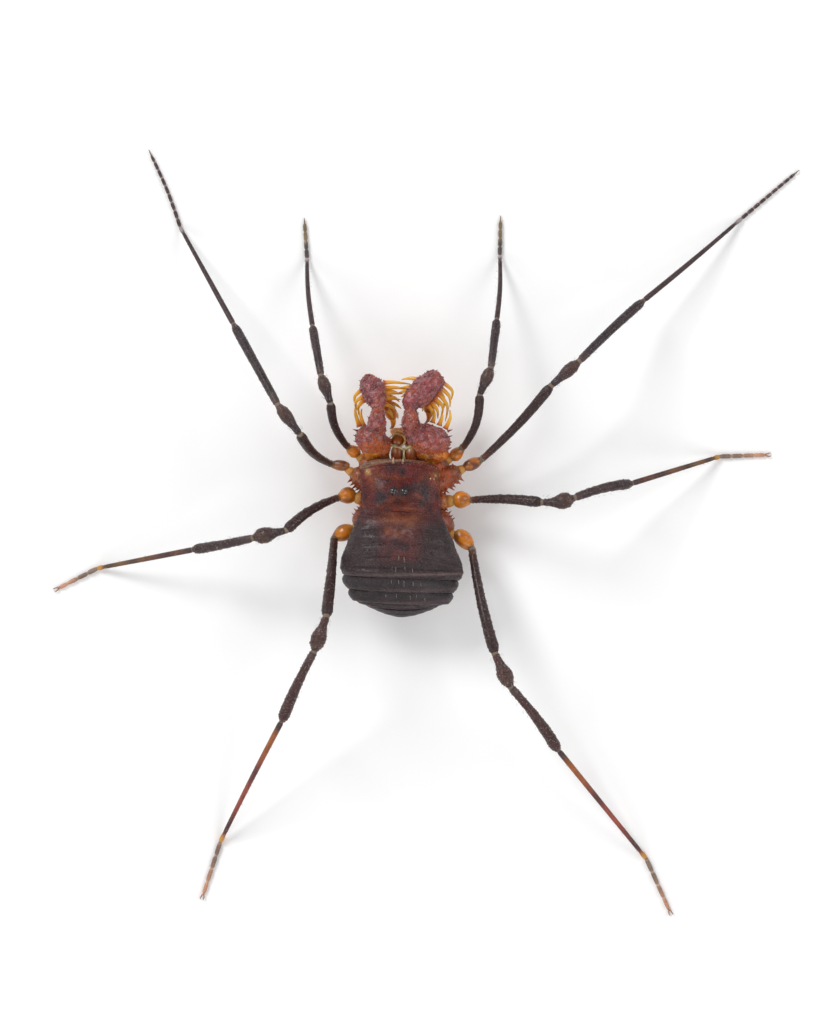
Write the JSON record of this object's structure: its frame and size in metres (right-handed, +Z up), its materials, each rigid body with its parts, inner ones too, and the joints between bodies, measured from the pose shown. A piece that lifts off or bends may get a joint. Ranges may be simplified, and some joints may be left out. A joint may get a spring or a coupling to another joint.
{
  "type": "harvestman",
  "caption": "Still, life-size armoured harvestman seen standing, with spiny raptorial pedipalps, a plated body and jointed legs spread on the floor.",
  "frame": {"origin": "on the floor, under the middle of the box that holds the spread legs", "axes": "+Z up from the floor, +Y the way the head points, +X towards the animal's right side"},
  "size_m": [0.0221, 0.0226, 0.0041],
  "materials": {
    "shield": "deep red-brown chitin, finely granular, satin",
    "abdomen": "brown-black granular chitin with lighter plate rims, satin",
    "coxae": "orange-red chitin with pointed tubercles, satin",
    "eye": "shiny black lens",
    "chelicera": "dark amber-brown chitin, glossy",
    "palp": "purple-red granular chitin with pale specks, amber spines",
    "palp_patella": "red-brown granular chitin",
    "palp_tarsus": "translucent amber-orange chitin with dark claw tip",
    "trochanter": "smooth amber-orange chitin",
    "femur": "dark brown chitin with reddish base",
    "patella": "brownish grey chitin",
    "tibia": "brownish grey chitin",
    "foot": "dark brown-grey chitin with pale joints and pinkish tip",
    "foot_banded": "orange-red chitin with dark bands and orange tip"
  },
  "bodies": {
    "root": {"abdomen_shield": "abdomen", "anal_plate": "abdomen", "chelicera_left": "chelicera", "chelicera_right": "chelicera", "coxae": "coxae", "eye_left": "eye", "eye_right": "eye", "free_tergite_1": "abdomen", "free_tergite_2": "abdomen", "head_shield": "shield", "leg_1_left_femur": "femur", "leg_1_left_foot": "foot", "leg_1_left_patella": "patella", "leg_1_left_tibia": "tibia", "leg_1_left_trochanter": "trochanter", "leg_1_right_femur": "femur", "leg_1_right_foot": "foot", "leg_1_right_patella": "patella", "leg_1_right_tibia": "tibia", "leg_1_right_trochanter": "trochanter", "leg_2_left_femur": "femur", "leg_2_left_foot": "foot", "leg_2_left_patella": "patella", "leg_2_left_tibia": "tibia", "leg_2_left_trochanter": "trochanter", "leg_2_right_femur": "femur", "leg_2_right_foot": "foot", "leg_2_right_patella": "patella", "leg_2_right_tibia": "tibia", "leg_2_right_trochanter": "trochanter", "leg_3_left_femur": "femur", "leg_3_left_foot": "foot_banded", "leg_3_left_patella": "patella", "leg_3_left_tibia": "tibia", "leg_3_left_trochanter": "trochanter", "leg_3_right_femur": "femur", "leg_3_right_foot": "foot_banded", "leg_3_right_patella": "patella", "leg_3_right_tibia": "tibia", "leg_3_right_trochanter": "trochanter", "leg_4_left_femur": "femur", "leg_4_left_foot": "foot_banded", "leg_4_left_patella": "patella", "leg_4_left_tibia": "tibia", "leg_4_left_trochanter": "trochanter", "leg_4_right_femur": "femur", "leg_4_right_foot": "foot_banded", "leg_4_right_patella": "patella", "leg_4_right_tibia": "tibia", "leg_4_right_trochanter": "trochanter", "palp_left_femur": "palp", "palp_left_patella": "palp_patella", "palp_left_tarsus": "palp_tarsus", "palp_left_tibia": "palp", "palp_right_femur": "palp", "palp_right_patella": "palp_patella", "palp_right_tarsus": "palp_tarsus", "palp_right_tibia": "palp"}
  },
  "joints": []
}
